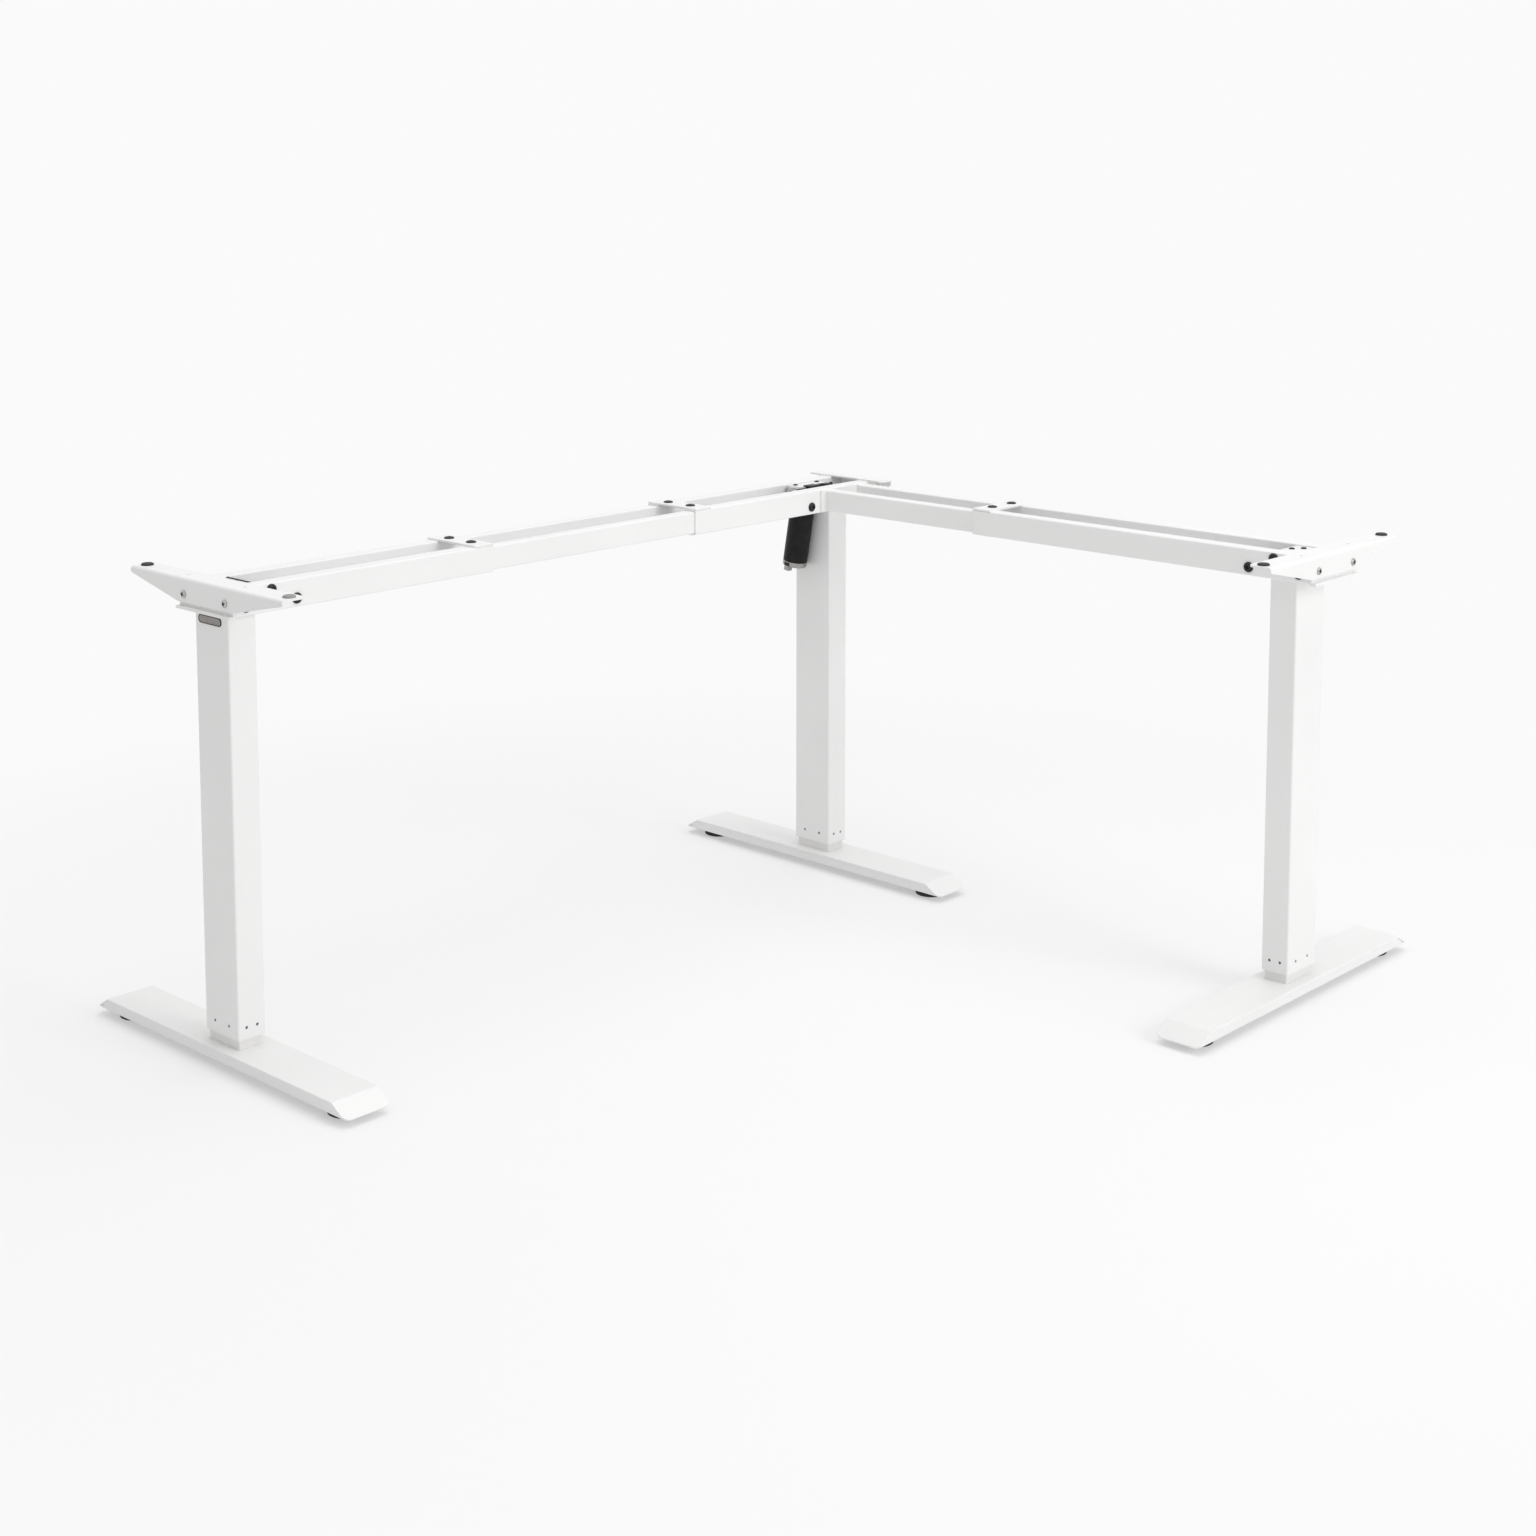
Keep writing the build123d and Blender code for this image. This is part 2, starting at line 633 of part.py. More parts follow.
def shaft_tube(plane, journal_start, tube_start, tube_length):
    """Journal and hexagon-bored tube along a plane's normal, starting at the corner."""
    with BuildPart() as shaft:
        with BuildSketch(plane.offset(journal_start)):
            Circle(journal_radius)
        extrude(amount=tube_start - journal_start)
        with BuildSketch(plane.offset(tube_start)):
            Circle(shaft_tube_radius)
        extrude(amount=tube_length)
        with BuildSketch(plane.offset(tube_start + shaft_step)):
            RegularPolygon(hex_flat / 2 + hex_gap, 6, major_radius=False)
        extrude(amount=tube_length, mode=Mode.SUBTRACT)
    return shaft.part


# Pieces that every leg has, each placed at its own leg
legs = {
    "left": (left_leg, left_inset, left_sleeve_reach, bracket_reach, arm_length, arm_flange, desktop_hole_half),
    "corner": (corner_leg, corner_inset, corner_sleeve_reach, corner_bracket_reach, corner_arm_length,
               corner_arm_flange, corner_hole_half),
    "right": (right_leg, right_inset, right_sleeve_reach, bracket_reach, arm_length, arm_flange,
              desktop_hole_half),
}
for name, (place, inset, reach, bracket_length, length, flange, hole_half) in legs.items():
    keep(place * foot(), f"foot_{name}")
    keep(place * glides(), f"glides_{name}")
    keep(place * lower_tube(), f"lower_tube_{name}")
    keep(place * lift_nut(), f"lift_nut_{name}")
    keep(place * upper_tube(), f"upper_tube_{name}")
    keep(place * column_slider(), f"column_slider_{name}")
    keep(place * lead_screw(), f"lead_screw_{name}")
    keep(place * clamp_plates(reach), f"clamp_plates_{name}")
    keep(place * arm(inset, length, flange, hole_half), f"arm_{name}")
    keep(place * arm_screws(inset), f"arm_screws_{name}")
for name in ("left", "right"):
    place, inset, reach, bracket_length = legs[name][:4]
    keep(place * head_bracket(inset, bracket_length), f"head_bracket_{name}")
    keep(place * end_gearbox(), f"gearbox_{name}")
    keep(place * black_bolts(inset, reach, bracket_length), f"black_bolts_{name}")
    keep(place * arm_pads(inset, arm_length), f"arm_pads_{name}")
    for side, word in ((-1, "far"), (1, "near")):
        near_side = -side if name == "left" else side
        keep(place * sleeve(inset, reach, bracket_length, near_side), f"sleeve_{name}_{word}")

# Corner bracket: cut open under the motor and pierced for the short beam's shaft and bolts
neck_room = motor_radius + gear_clear
neck_side = neck_room + motor_top * sin(radians(motor_lean))
with BuildPart() as head_bracket_corner:
    add(head_bracket(corner_inset, corner_bracket_reach, middle=False))
    with BuildSketch(Plane.XY.offset(beam_bottom)):
        with Locations((0, -motor_offset)):
            Rectangle(2 * neck_side, 2 * neck_room)
    extrude(amount=bracket_plate, mode=Mode.SUBTRACT)
    with Locations(Location((half_beam, 0, shaft_z), (0, 90, 0))):
        Cylinder(shaft_tube_radius + fit_gap, 8 * bracket_wall, mode=Mode.SUBTRACT)
    for y in (-rail_mid, rail_mid):
        with Locations(Location((half_beam, y, beam_mid), (0, 90, 0))):
            Cylinder(bolt_radius, 8 * bracket_wall, mode=Mode.SUBTRACT)
keep(corner_leg * head_bracket_corner.part, "head_bracket_corner")
keep(corner_leg * corner_gearbox(), "gearbox_corner")

# Corner sleeves: the near one carries the short beam's rails
far_sleeve = sleeve(corner_inset, corner_sleeve_reach, corner_bracket_reach, -1, middle=False)
keep(corner_leg * far_sleeve, "sleeve_corner_far")
with BuildPart() as sleeve_corner_near:
    add(sleeve(corner_inset, corner_sleeve_reach, corner_bracket_reach, 1, middle=False))
    with Locations(Location((sleeve_mid, 0, shaft_z), (0, 90, 0))):
        Cylinder(shaft_tube_radius + fit_gap, 2 * sleeve_width, mode=Mode.SUBTRACT)
    for y in (-rail_mid, rail_mid):
        with Locations(Location((half_beam, y, beam_mid), (0, 90, 0))):
            Cylinder(bolt_radius, 4 * sheet, mode=Mode.SUBTRACT)
keep(corner_leg * sleeve_corner_near.part, "sleeve_corner_near")

# Black bolts at the corner, with the two that hold the short beam's rails
rail_bolt = socket_screw(rail_end_plate + bolt_length, bolt_head_radius, bolt_head_height, bolt_radius)
with BuildPart() as black_bolts_corner:
    add(black_bolts(corner_inset, corner_sleeve_reach, corner_bracket_reach, middle=False))
    for y in (-rail_mid, rail_mid):
        with Locations(Location((half_beam + rail_end_plate, y, beam_mid), (0, 90, 0))):
            add(rail_bolt)
keep(corner_leg * black_bolts_corner.part, "black_bolts_corner")

# Middle rails of the long beam, inside the sleeves of the left and corner legs
for side, word in ((-1, "far"), (1, "near")):
    rail = box_rail(rail_height, rail_width, rail_setback - long_span, -rail_setback, rail_mid, side)
    keep(corner_leg * rail, f"middle_rail_{word}")

# Rails of the short beam, bolted to the corner by their end plates
short_turn = Location((corner_x, corner_y, 0), (0, 0, -90))
for side, word in ((-1, "far"), (1, "near")):
    start = half_beam + rail_end_plate
    with BuildPart() as short_rail:
        add(box_rail(rail_height, rail_width, start, short_span - rail_setback, rail_mid, side))
        with BuildSketch(Plane.XZ.offset(-half_beam)):
            lip = rail_end_lip if side > 0 else 0
            with Locations((side * (rail_face + (lip - rail_width) / 2), beam_mid)):
                Rectangle(rail_width + lip, rail_height)
        extrude(amount=-rail_end_plate)
        with Locations(Location((side * rail_mid, half_beam, beam_mid), (90, 0, 0))):
            Cylinder(bolt_radius, 4 * rail_end_plate, mode=Mode.SUBTRACT)
    keep(short_turn * short_rail.part, f"short_rail_{word}")

# Cross shafts: tubes at the corner, hexagonal rods at the outer legs
long_tube_start = motor_offset + mitre_radius + addendum + gear_clear + gearbox_wall + shaft_step
short_tube_start = gearbox_half + shaft_step
corner_shaft = Plane(origin=(0, 0, shaft_z), x_dir=(1, 0, 0), z_dir=(0, -1, 0))
right_shaft = Plane(origin=(0, 0, shaft_z), x_dir=(0, 1, 0), z_dir=(1, 0, 0))
journal_start = crown_radius - gear_face
corner_pinion = bevel_gear(pinion_teeth, pinion_cone, gear_face, journal_radius, 0.5)
mitre_gear = bevel_gear(mitre_teeth, mitre_cone, mitre_face, journal_radius, 0.5)
long_pinion = Location((0, 0, shaft_z), (90, 0, 0)) * corner_pinion
turned_gear = Location((0, 0, 0), (0, 0, motor_lean)) * mitre_gear
motor_gear = Location((0, -motor_offset, shaft_z), (-90, 0, 0)) * turned_gear
long_tube = shaft_tube(corner_shaft, journal_start, long_tube_start, long_tube_length)
long_shaft_tube = Compound(children=[long_tube.solid(), long_pinion.solid(), motor_gear.solid()])
keep(corner_leg * long_shaft_tube, "long_shaft_tube")
short_pinion = Location((0, 0, shaft_z), (0, 90, 0)) * corner_pinion
short_tube = shaft_tube(right_shaft, journal_start, short_tube_start, short_tube_length)
short_shaft_tube = Compound(children=[short_tube.solid(), short_pinion.solid()])
keep(corner_leg * short_shaft_tube, "short_shaft_tube")
keep(left_leg * hex_rod(long_span, long_tube_start, long_tube_length), "long_shaft_rod")
keep(right_leg * hex_rod(short_span, short_tube_start, short_tube_length), "short_shaft_rod")

# Motor: black can, bright end cap, and the rotor with its bevel gear
motor_end = motor_top + motor_length
with BuildPart() as motor_housing:
    with BuildSketch(motor_plane(motor_top)):
        Circle(motor_radius)
    extrude(amount=motor_length)
    fillet(motor_housing.edges().filter_by(GeomType.CIRCLE).sort_by(Axis.Z)[-1], radius=motor_wall)
    with BuildSketch(motor_plane(motor_top + motor_wall)):
        Circle(motor_radius - motor_wall)
    extrude(amount=motor_length, mode=Mode.SUBTRACT)
    with BuildSketch(motor_plane(0)):
        Circle(journal_radius + run_gap)
    extrude(amount=motor_end, mode=Mode.SUBTRACT)
keep(corner_leg * motor_housing.part, "motor_housing")

with BuildPart() as motor_end_cap:
    with BuildSketch(motor_plane(motor_end)):
        Circle(motor_radius)
    extrude(amount=motor_cap_length)
    fillet(motor_end_cap.edges().filter_by(GeomType.CIRCLE).sort_by(Axis.Z)[0], radius=motor_cap_step)
    with BuildSketch(motor_plane(motor_end)):
        with Locations((-motor_radius + motor_tab / 2, 0)):
            Rectangle(motor_tab, motor_tab)
    extrude(amount=motor_cap_length + motor_tab_drop)
    with BuildSketch(motor_plane(motor_end)):
        Circle(journal_radius + run_gap)
    extrude(amount=motor_cap_length - motor_cap_step, mode=Mode.SUBTRACT)
keep(corner_leg * motor_end_cap.part, "motor_end_cap")

motor_pinion = motor_plane(0).location * bevel_gear(mitre_teeth, mitre_cone, mitre_face, journal_radius, 0)
with BuildPart() as rotor:
    with BuildSketch(motor_plane(mitre_back - gear_back)):
        Circle(journal_radius)
    extrude(amount=motor_end + motor_cap_length - 2 * motor_cap_step - mitre_back + gear_back)
    with BuildSketch(motor_plane(motor_top + motor_wall + rotor_margin)):
        Circle(rotor_radius)
    extrude(amount=motor_length - motor_wall - 2 * rotor_margin)
motor_rotor = Compound(children=[rotor.part.solid(), motor_pinion.solid()])
keep(corner_leg * motor_rotor, "motor_rotor")
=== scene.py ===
import math

import bmesh
import bpy
from mathutils import Matrix, Vector


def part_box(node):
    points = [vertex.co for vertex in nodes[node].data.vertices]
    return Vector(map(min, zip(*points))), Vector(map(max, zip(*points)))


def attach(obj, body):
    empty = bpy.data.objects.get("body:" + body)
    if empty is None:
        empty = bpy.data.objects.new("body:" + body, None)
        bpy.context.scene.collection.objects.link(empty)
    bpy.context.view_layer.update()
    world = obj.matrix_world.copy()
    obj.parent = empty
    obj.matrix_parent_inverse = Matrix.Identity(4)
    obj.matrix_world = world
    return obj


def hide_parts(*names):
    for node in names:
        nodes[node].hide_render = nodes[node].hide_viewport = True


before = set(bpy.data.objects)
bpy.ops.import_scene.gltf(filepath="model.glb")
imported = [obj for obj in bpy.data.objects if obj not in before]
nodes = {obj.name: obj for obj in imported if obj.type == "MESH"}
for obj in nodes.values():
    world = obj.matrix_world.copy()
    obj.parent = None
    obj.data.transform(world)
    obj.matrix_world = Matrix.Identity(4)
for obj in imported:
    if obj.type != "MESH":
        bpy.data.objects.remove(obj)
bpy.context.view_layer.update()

# Feet: flat-topped shoes folded from 3 mm steel sheet, one under each column, with end tongues
# that slope down to the floor. They are sprayed with white powder and baked, which leaves a fine
# skin like orange peel.
LEGS = ("left", "corner", "right")
coat_white = (0.86, 0.86, 0.855, 1.0)


def new_finish(name):
    finish = bpy.data.materials.new(name)
    finish.use_nodes = True
    tree = finish.node_tree
    place = tree.nodes.new("ShaderNodeTexCoord")
    return finish, tree, tree.nodes["Principled BSDF"], place.outputs["Object"]


def speckle(tree, place, scale, detail, roughness=0.5):
    noise = tree.nodes.new("ShaderNodeTexNoise")
    noise.inputs["Scale"].default_value = scale
    noise.inputs["Detail"].default_value = detail
    noise.inputs["Roughness"].default_value = roughness
    tree.links.new(place, noise.inputs["Vector"])
    return noise.outputs["Fac"]


def shade_range(tree, factor, low, high):
    ramp = tree.nodes.new("ShaderNodeValToRGB")
    ramp.color_ramp.elements[0].position = 0.3
    ramp.color_ramp.elements[0].color = low
    ramp.color_ramp.elements[1].position = 0.7
    ramp.color_ramp.elements[1].color = high
    tree.links.new(factor, ramp.inputs["Fac"])
    return ramp.outputs["Color"]


def value_range(tree, factor, low, high):
    span = tree.nodes.new("ShaderNodeMapRange")
    span.inputs["From Min"].default_value = 0.3
    span.inputs["From Max"].default_value = 0.7
    span.inputs["To Min"].default_value = low
    span.inputs["To Max"].default_value = high
    tree.links.new(factor, span.inputs["Value"])
    return span.outputs["Result"]


def skin_bump(tree, shader, height, strength, distance):
    bump = tree.nodes.new("ShaderNodeBump")
    bump.inputs["Strength"].default_value = strength
    bump.inputs["Distance"].default_value = distance
    tree.links.new(height, bump.inputs["Height"])
    tree.links.new(bump.outputs["Normal"], shader.inputs["Normal"])


def powder_coat(name, white):
    finish, tree, shader, place = new_finish(name)
    cloud = speckle(tree, place, 7.0, 3.0)
    peel = speckle(tree, place, 900.0, 2.0, 0.6)
    dull = tuple(c * 0.972 for c in white[:3]) + (1.0,)
    tree.links.new(shade_range(tree, cloud, dull, white), shader.inputs["Base Color"])
    tree.links.new(value_range(tree, peel, 0.36, 0.5), shader.inputs["Roughness"])
    shader.inputs["Specular IOR Level"].default_value = 0.4
    skin_bump(tree, shader, peel, 0.12, 0.0004)
    return finish


def dress(names, finish):
    for name in names:
        mesh = nodes[name].data
        mesh.materials.clear()
        mesh.materials.append(finish)


def ease_edges(names, width, segments=2):
    for name in names:
        piece = nodes[name]
        weld = piece.modifiers.new("join", "WELD")
        weld.merge_threshold = 0.00002
        flat = piece.modifiers.new("flat", "DECIMATE")
        flat.decimate_type = "DISSOLVE"
        flat.angle_limit = math.radians(1.0)
        edge = piece.modifiers.new("ease", "BEVEL")
        edge.width = width
        edge.segments = segments
        edge.limit_method = "ANGLE"
        edge.angle_limit = math.radians(40.0)
        edge.harden_normals = False


feet = [f"foot_{leg}" for leg in LEGS]
white_coat = powder_coat("white_powder_coat", coat_white)
dress(feet, white_coat)
ease_edges(feet, 0.0012, 3)

# Levelling glides: a black rubber disc moulded round a threaded steel stem, screwed up into each
# end of a foot, with a thin hexagonal jam nut above the disc.
glide_black = (0.012, 0.012, 0.013, 1.0)
zinc_grey = (0.52, 0.52, 0.51, 1.0)
glide_half = 0.256
glide_profile = [(0.0, 0.0), (0.0242, 0.0), (0.0258, 0.0010), (0.0260, 0.0022), (0.0260, 0.0048),
                 (0.0250, 0.0062), (0.0190, 0.0074), (0.0085, 0.0080), (0.0, 0.0080)]
stem_profile = [(0.0, 0.0075), (0.004, 0.0075), (0.004, 0.0252), (0.0034, 0.026), (0.0, 0.026)]
jam_nut_across = 0.013
jam_nut_bottom = 0.0080
jam_nut_top = 0.0117
leg_turns = {"left": math.pi, "corner": 0.0, "right": -math.pi / 2}


def moulded(name, colour, low, high, grain, strength, shine=0.5):
    finish, tree, shader, place = new_finish(name)
    cloud = speckle(tree, place, 60.0, 3.0)
    fine = speckle(tree, place, grain, 2.0)
    pale = tuple(min(1.0, c * 1.35 + 0.004) for c in colour[:3]) + (1.0,)
    tree.links.new(shade_range(tree, cloud, colour, pale), shader.inputs["Base Color"])
    tree.links.new(value_range(tree, fine, low, high), shader.inputs["Roughness"])
    shader.inputs["Specular IOR Level"].default_value = shine
    skin_bump(tree, shader, fine, strength, 0.0003)
    return finish


def bare_metal(name, colour, low, high, grain):
    finish, tree, shader, place = new_finish(name)
    cloud = speckle(tree, place, 120.0, 3.0)
    fine = speckle(tree, place, grain, 3.0)
    dull = tuple(c * 0.8 for c in colour[:3]) + (1.0,)
    tree.links.new(shade_range(tree, cloud, dull, colour), shader.inputs["Base Color"])
    tree.links.new(value_range(tree, fine, low, high), shader.inputs["Roughness"])
    shader.inputs["Metallic"].default_value = 1.0
    skin_bump(tree, shader, fine, 0.05, 0.0002)
    return finish


def leg_place(leg):
    low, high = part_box(f"upper_tube_{leg}")
    middle = Matrix.Translation(((low.x + high.x) / 2, (low.y + high.y) / 2, 0.0))
    return middle @ Matrix.Rotation(leg_turns[leg], 4, "Z")


def at_leg(leg, place):
    return leg_place(leg) @ Matrix.Translation(place)


def turned(profile, steps=32):
    shape = bmesh.new()
    ring = [shape.verts.new((radius, 0.0, height)) for radius, height in profile]
    line = [shape.edges.new(pair) for pair in zip(ring, ring[1:])]
    bmesh.ops.spin(shape, geom=ring + line, axis=(0, 0, 1), cent=(0, 0, 0), dvec=(0, 0, 0),
                   angle=2 * math.pi, steps=steps, use_merge=True)
    bmesh.ops.remove_doubles(shape, verts=shape.verts, dist=0.000005)
    bmesh.ops.recalc_face_normals(shape, faces=shape.faces)
    return shape


def hexagon_nut(across, bottom, top):
    shape = bmesh.new()
    bmesh.ops.create_cone(shape, cap_ends=True, segments=6, radius1=across / math.sqrt(3),
                          radius2=across / math.sqrt(3), depth=top - bottom)
    bmesh.ops.bevel(shape, geom=shape.edges[:], offset=0.0004, segments=2, profile=0.5,
                    affect="EDGES", material=-1)
    bmesh.ops.translate(shape, verts=shape.verts, vec=(0, 0, (bottom + top) / 2))
    return shape


def put(assembly, shape, places, finish_index=0):
    stamp = bpy.data.meshes.new("stamp")
    shape.to_mesh(stamp)
    shape.free()
    for place in places:
        copy = stamp.copy()
        copy.transform(place)
        first = len(assembly.faces)
        assembly.from_mesh(copy)
        assembly.faces.ensure_lookup_table()
        for face in assembly.faces[first:]:
            face.material_index += finish_index
        bpy.data.meshes.remove(copy)
    bpy.data.meshes.remove(stamp)


def new_piece(name, assembly, finishes, body, stands_for=None, smooth=35.0):
    mesh = bpy.data.meshes.new(name)
    assembly.to_mesh(mesh)
    assembly.free()
    for finish in finishes:
        mesh.materials.append(finish)
    mesh.shade_smooth()
    mesh.set_sharp_from_angle(angle=math.radians(smooth))
    piece = bpy.data.objects.new(name, mesh)
    bpy.context.scene.collection.objects.link(piece)
    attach(piece, body)
    if stands_for:
        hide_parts(stands_for)
    return piece


black_rubber = moulded("black_rubber", glide_black, 0.55, 0.75, 1500.0, 0.25)
zinc = bare_metal("bright_zinc", zinc_grey, 0.22, 0.38, 1800.0)
for leg in LEGS:
    ends = [at_leg(leg, (x, 0, 0)) for x in (-glide_half, glide_half)]
    glides = bmesh.new()
    put(glides, turned(glide_profile, 40), ends)
    put(glides, turned(stem_profile, 24), ends, 1)
    put(glides, hexagon_nut(jam_nut_across, jam_nut_bottom, jam_nut_top), ends, 1)
    new_piece(f"levelling_glides_{leg}", glides, [black_rubber, zinc], f"{leg}_glides",
              f"glides_{leg}")

# Lower tubes: the inner steel column tubes, powder coated like the feet but a little warmer,
# each capped by a moulded nylon nut and guided by a nylon slider in the mouth of the outer tube.
lower_white = (0.82, 0.815, 0.80, 1.0)
nylon_grey = (0.10, 0.10, 0.10, 1.0)
lower_coat = powder_coat("lower_tube_coat", lower_white)
nylon = moulded("nylon", nylon_grey, 0.45, 0.6, 900.0, 0.15)
dress([f"lower_tube_{leg}" for leg in LEGS], lower_coat)
dress([f"lift_nut_{leg}" for leg in LEGS] + [f"column_slider_{leg}" for leg in LEGS], nylon)

# Upper tubes: drawn rectangular steel tube with rounded corners, powder coated outside, with small
# holes near the lower end for the slider's pegs.
upper_tubes = [f"upper_tube_{leg}" for leg in LEGS]
dress(upper_tubes, white_coat)

# Badge: a small plain nickel plate with a dark raised rim. It is stamped from thin sheet and stuck
# on the left column, just below the arm.
badge_size = (0.055, 0.0012, 0.0122)
badge_corner = 0.0060
badge_step = 0.0002
rim_width = 0.0009
nickel_sink = 0.0004
badge_place = (0.003, 0.0236, 0.6418)
nickel = bare_metal("badge_nickel", (0.30, 0.285, 0.27, 1.0), 0.34, 0.48, 2400.0)
badge_dark = bare_metal("badge_rim", (0.075, 0.07, 0.066, 1.0), 0.38, 0.5, 2400.0)
badge = bmesh.new()
bmesh.ops.create_cube(badge, size=1.0)
bmesh.ops.scale(badge, vec=badge_size, verts=badge.verts)
ends = [edge for edge in badge.edges if abs(edge.verts[0].co.y - edge.verts[1].co.y) > 0.0005]
bmesh.ops.bevel(badge, geom=ends, offset=badge_corner, segments=10, profile=0.5, affect="EDGES",
                material=-1)
front = max(badge.faces, key=lambda face: face.calc_center_median().y)
bmesh.ops.inset_region(badge, faces=[front], thickness=0.0003, depth=badge_step)
bmesh.ops.inset_region(badge, faces=[front], thickness=rim_width)
bmesh.ops.inset_region(badge, faces=[front], thickness=badge_step, depth=-nickel_sink)
front.material_index = 1
bmesh.ops.recalc_face_normals(badge, faces=badge.faces)
bmesh.ops.transform(badge, matrix=at_leg("left", badge_place), verts=badge.verts)
new_piece("badge_plate", badge, [badge_dark, nickel], "left_frame")

# Head brackets, sleeves, rails and cross plates: pressed and folded steel sheet, punched for its
# screws before it is folded, then powder coated.
sheet_parts = [f"{part}_{leg}" for part in ("head_bracket", "clamp_plates") for leg in LEGS]
sheet_parts += [f"sleeve_{leg}_{side}" for leg in LEGS for side in ("near", "far")]
sheet_parts += [f"{rail}_{side}" for rail in ("middle_rail", "short_rail") for side in ("near", "far")]
dress(sheet_parts, white_coat)
ease_edges(sheet_parts, 0.0006)

# Side arms: sheet steel folded to a flange and a tapered web, with an open bend between them,
# screwed to the end of each leg's bracket.
arms = [f"arm_{leg}" for leg in LEGS]
dress(arms, white_coat)
ease_edges(arms, 0.0007)

# Arm pads: round black rubber bumpers pressed on the arms, which keep the desktop off the steel.
# One on the left arm is a paler grey than the rest.
pad_reach = 0.1715
pad_setback = 0.020
arm_top = 0.697
arm_insets = {"left": 0.034, "corner": 0.092, "right": 0.064}
pad_profile = [(0.0, 0.0), (0.0090, 0.0), (0.0090, 0.0014), (0.0086, 0.0023), (0.0076, 0.0029),
               (0.0064, 0.0030), (0.0058, 0.0026), (0.0050, 0.0024), (0.0, 0.0024)]
grey_rubber = moulded("grey_rubber", (0.24, 0.24, 0.235, 1.0), 0.5, 0.65, 1500.0, 0.2)
for leg in ("left", "right"):
    for end, x in (("near", -pad_reach), ("far", pad_reach)):
        pad = bmesh.new()
        put(pad, turned(pad_profile, 40), [at_leg(leg, (x, arm_insets[leg] - pad_setback, arm_top))])
        finish = grey_rubber if (leg, end) == ("left", "near") else black_rubber
        new_piece(f"arm_pad_{leg}_{end}", pad, [finish], f"{leg}_frame", f"arm_pads_{leg}")

# Arm screws: zinc-plated pan heads with a cross recess, pressed in one blow and rolled. Two go
# through each arm's web into the bracket. The recess is coloured near black as painted shade.
arm_screw_radius = 0.0055
arm_screw_rise = 0.0030
arm_screw_reach = 0.050
arm_screw_height = 0.674
rim_share = 0.42
recess_share = 0.25
recess_taper = 0.8
along_beam = Matrix.Rotation(-math.pi / 2, 4, "X")
# Near-black finish for the screw recesses: painted shade for the dark inside the hollow.
recess_painted_shade = moulded("recess_painted_shade", (0.006, 0.006, 0.0065, 1.0), 0.4, 0.6, 1800.0, 0.1, 0.15)


def pan_head(radius, rise):
    shape = bmesh.new()
    bmesh.ops.create_grid(shape, x_segments=9, y_segments=9, size=1.0)
    cross = []
    for face in shape.faces:
        middle = face.calc_center_median()
        if min(abs(middle.x), abs(middle.y)) < 0.1 and max(abs(middle.x), abs(middle.y)) < 0.5:
            cross.append(face)
    for vert in shape.verts:
        x, y = (math.copysign(abs(side) ** 0.75, side) for side in vert.co.xy)
        across, along = x * math.sqrt(1 - y * y / 2), y * math.sqrt(1 - x * x / 2)
        edge = min(1.0, math.hypot(across, along))
        dome = math.sqrt(max(0.0, 1 - edge ** 3))
        vert.co = (across * radius, along * radius, rise * (rim_share + (1 - rim_share) * dome))
    rim = [edge for edge in shape.edges if edge.is_boundary]
    skirt = bmesh.ops.extrude_edge_only(shape, edges=rim)["geom"]
    low = [vert for vert in skirt if isinstance(vert, bmesh.types.BMVert)]
    for vert in low:
        vert.co.z = 0.0
    bmesh.ops.holes_fill(shape, edges=[edge for edge in shape.edges if edge.is_boundary], sides=0)
    sunk = bmesh.ops.extrude_face_region(shape, geom=cross)["geom"]
    bmesh.ops.delete(shape, geom=cross, context="FACES")
    floor = [vert for vert in sunk if isinstance(vert, bmesh.types.BMVert)]
    for vert in floor:
        vert.co.z = rise * recess_share
        vert.co.x *= recess_taper
        vert.co.y *= recess_taper
    # The recess walls and floor take the second finish, the painted shade.
    for face in {face for vert in floor for face in vert.link_faces}:
        face.material_index = 1
    bmesh.ops.recalc_face_normals(shape, faces=shape.faces)
    return shape


for leg, spin in (("left", (20, 70)), ("corner", (5, 50)), ("right", (35, 65))):
    screws = bmesh.new()
    for x, angle in zip((-arm_screw_reach, arm_screw_reach), spin):
        seat = Matrix.Translation((x, arm_insets[leg], arm_screw_height)) @ along_beam
        put(screws, pan_head(arm_screw_radius, arm_screw_rise),
            [leg_place(leg) @ seat @ Matrix.Rotation(math.radians(angle), 4, "Z")])
    new_piece(f"pan_screws_{leg}", screws, [zinc, recess_painted_shade], f"{leg}_frame",
              f"arm_screws_{leg}", 30.0)

# Beam bolts and cross plate screws: button heads with a hexagon socket, black oxide on steel. The
# bolts clamp the sleeves to the brackets, and the screws draw the cross plates together.
oxide_black = (0.010, 0.010, 0.011, 1.0)
beam_half = 0.056
beam_axis = 0.6735
first_bolt = 0.030
last_bolt = 0.015
bolt_height = 0.666
middle_bolt_height = 0.6845
rail_bolt_reach = 0.043
end_plate = 0.003
clamp_setback = 0.018
clamp_reach = 0.026
bolt_radius = 0.008
bolt_rise = 0.004
clamp_rise = 0.0027
sleeve_ends = {"left": 0.441, "corner": 0.374, "right": 0.576}
bracket_ends = {"left": 0.130, "corner": 0.195, "right": 0.130}
# This black also colours the painted shadow strip on the left gearbox cover.
black_oxide_and_painted_shadow = moulded("black_oxide_and_painted_shadow", oxide_black, 0.28, 0.45, 1800.0, 0.1, 0.3)


